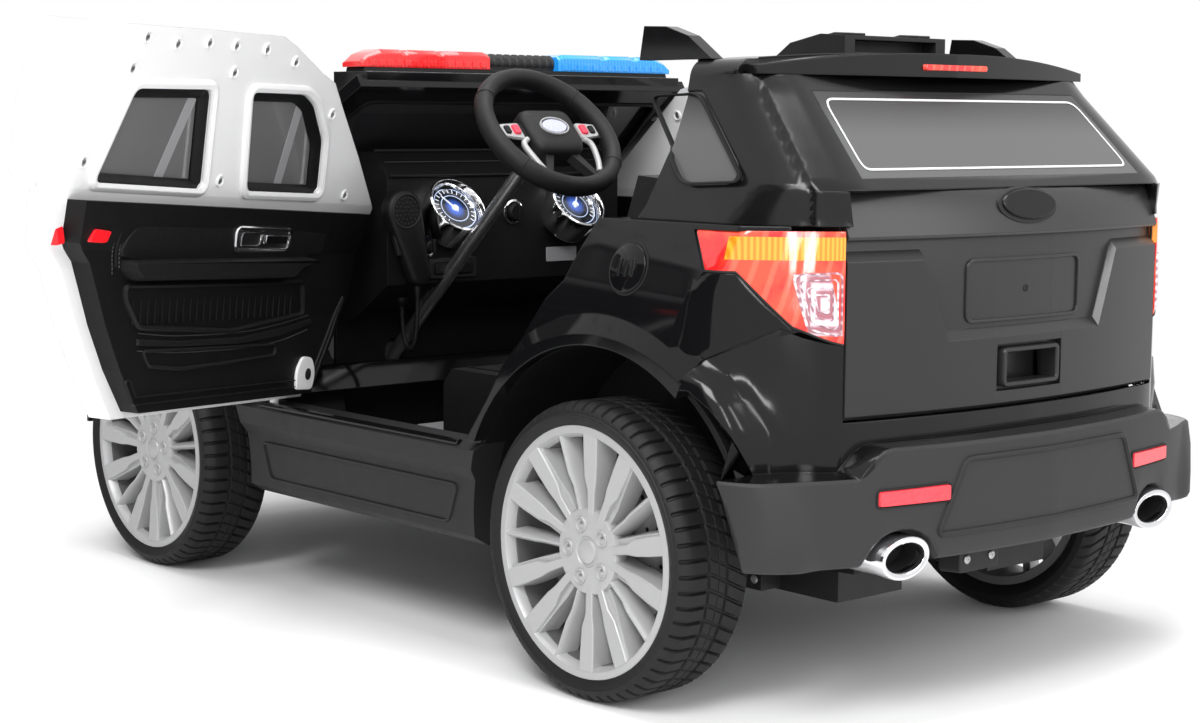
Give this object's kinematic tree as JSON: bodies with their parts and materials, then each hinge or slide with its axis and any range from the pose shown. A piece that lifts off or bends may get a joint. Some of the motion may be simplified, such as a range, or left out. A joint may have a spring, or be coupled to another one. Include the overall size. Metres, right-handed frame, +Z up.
{
  "type": "ride-on toy police suv",
  "caption": "Child's battery ride-on toy in the shape of a police SUV: open two-seater with light bar, opening doors, steering front wheels and rolling wheels.",
  "frame": {"origin": "on the floor under the middle of the box round the toy with its left door open", "axes": "+X forward along the toy, +Y to its left, +Z up"},
  "size_m": [1.3008, 1.1478, 0.624],
  "materials": {
    "black_gloss": "gloss moulded",
    "black_satin": "fine grain",
    "white_gloss": "gloss moulded",
    "lamp_red": "clear moulded lens",
    "lamp_clear": "clear moulded lens",
    "reflector_red": "prismatic",
    "chrome": "plated",
    "tinted": "dark tint",
    "steel": "zinc plated",
    "battery_case": "moulded",
    "grey_plastic": "moulded",
    "tyre": "moulded",
    "silver": "silver painted",
    "disc_grey": "grey",
    "lens_red": "translucent",
    "lens_blue": "translucent"
  },
  "bodies": {
    "body": {"body_rear": "black_gloss", "body_front": "black_gloss", "tailgate": "black_gloss", "roof_cap": "black_gloss", "spoiler": "black_gloss", "roof_fins": "black_gloss", "roof_scoop": "black_satin", "tail_lamps": "lamp_red", "bumper_rear": "black_satin", "bumper_front": "black_satin", "reflectors": "reflector_red", "exhaust_tips": "chrome", "quarter_windows": "tinted", "rear_window": "tinted", "headlamps": "lamp_clear", "grille": "chrome", "sills": "black_satin", "chassis": "black_satin", "rear_axle": "steel", "gearboxes": "black_satin", "battery": "battery_case", "dashboard": "black_satin", "gauges": "chrome", "windscreen_frame": "black_gloss", "windscreen": "tinted", "light_bar": "black_satin", "light_bar_lens_red": "lens_red", "light_bar_lens_blue": "lens_blue", "seats": "black_satin", "pedal": "grey_plastic", "microphone": "black_satin"},
    "steering": {"steering_wheel": "black_satin", "steering_rod": "steel"},
    "tie_rod": {"tie_rod": "steel"},
    "door_left": {"door_left_shell": "white_gloss", "door_left_trim": "black_satin", "door_left_panes": "tinted", "door_left_handle": "chrome", "door_left_mirror": "black_satin"},
    "knuckle_left": {"knuckle_left": "steel"},
    "wheel_rear_left": {"rim_rear_left": "silver", "tyre_rear_left": "tyre", "brake_disc_rear_left": "disc_grey"},
    "wheel_front_left": {"rim_front_left": "silver", "tyre_front_left": "tyre", "brake_disc_front_left": "disc_grey"},
    "door_right": {"door_right_shell": "white_gloss", "door_right_trim": "black_satin", "door_right_panes": "tinted", "door_right_handle": "chrome", "door_right_mirror": "black_satin"},
    "knuckle_right": {"knuckle_right": "steel"},
    "wheel_rear_right": {"rim_rear_right": "silver", "tyre_rear_right": "tyre", "brake_disc_rear_right": "disc_grey"},
    "wheel_front_right": {"rim_front_right": "silver", "tyre_front_right": "tyre", "brake_disc_front_right": "disc_grey"}
  },
  "joints": [
    {"name": "wheel_rear_left_roll", "type": "hinge", "parent": "body", "child": "wheel_rear_left", "pos_m": [-0.37661, 0.09514, 0.14], "axis": [0, 1, 0], "continuous": true},
    {"name": "wheel_rear_right_roll", "type": "hinge", "parent": "body", "child": "wheel_rear_right", "pos_m": [-0.37661, -0.50486, 0.14], "axis": [0, 1, 0], "continuous": true},
    {"name": "wheel_front_left_roll", "type": "hinge", "parent": "knuckle_left", "child": "wheel_front_left", "pos_m": [0.41539, 0.09514, 0.14], "axis": [0, 1, 0], "continuous": true},
    {"name": "wheel_front_right_roll", "type": "hinge", "parent": "knuckle_right", "child": "wheel_front_right", "pos_m": [0.41539, -0.50486, 0.14], "axis": [0, 1, 0], "continuous": true},
    {"name": "steering_turn", "type": "hinge", "parent": "body", "child": "steering", "pos_m": [-0.03161, -0.11286, 0.522], "axis": [-0.7314, 0, 0.682], "range_deg": [-60, 60]},
    {"name": "knuckle_left_steer", "type": "hinge", "parent": "body", "child": "knuckle_left", "pos_m": [0.41539, 0.03014, 0.14], "axis": [0, 0, 1], "range_deg": [-20, 20]},
    {"name": "knuckle_right_steer", "type": "hinge", "parent": "body", "child": "knuckle_right", "pos_m": [0.41539, -0.43986, 0.14], "axis": [0, 0, 1], "range_deg": [-20, 20]},
    {"name": "tie_rod_slide", "type": "slide", "parent": "body", "child": "tie_rod", "axis": [0, -1, 0], "range_m": [-0.0209, 0.0209]},
    {"name": "door_left_hinge", "type": "hinge", "parent": "body", "child": "door_left", "pos_m": [0.16839, 0.11014, 0.3], "axis": [-0.075, -0.0261, 0.9968], "range_deg": [0, 61.6]},
    {"name": "door_right_hinge", "type": "hinge", "parent": "body", "child": "door_right", "pos_m": [0.16839, -0.51986, 0.3], "axis": [-0.075, 0.0261, 0.9968], "range_deg": [0, 61.6]}
  ],
  "couplings": [
    {"joint": "knuckle_left_steer", "follows": "steering_turn", "ratio": 0.33333},
    {"joint": "knuckle_right_steer", "follows": "steering_turn", "ratio": 0.33333},
    {"joint": "tie_rod_slide", "follows": "steering_turn", "m_per_rad": 0.0198}
  ]
}
